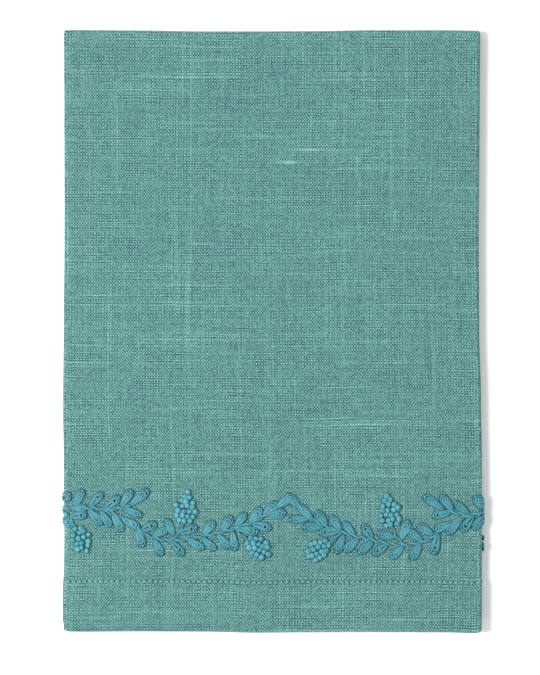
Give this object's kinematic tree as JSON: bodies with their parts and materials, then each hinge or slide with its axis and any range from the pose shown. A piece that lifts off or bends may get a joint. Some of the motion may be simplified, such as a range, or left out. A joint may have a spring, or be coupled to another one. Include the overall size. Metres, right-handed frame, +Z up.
{
  "type": "folded cloth napkin",
  "caption": "Square linen napkin folded in thirds and then in half, with a raised embroidered vine of leaves and knotted grape bunches above its hem.",
  "frame": {"origin": "middle of the underside of the folded napkin, on the surface it lies on", "axes": "+X across the front to the right, +Y up the front to the half fold, +Z up out of the embroidered face"},
  "size_m": [0.179, 0.2546, 0.0097],
  "materials": {
    "linen": "matte plain-weave linen",
    "embroidery_thread": "soft stranded cotton thread with a low sheen"
  },
  "bodies": {
    "root": {"napkin": "linen", "vine": "embroidery_thread", "fold_knots": "embroidery_thread"}
  },
  "joints": []
}
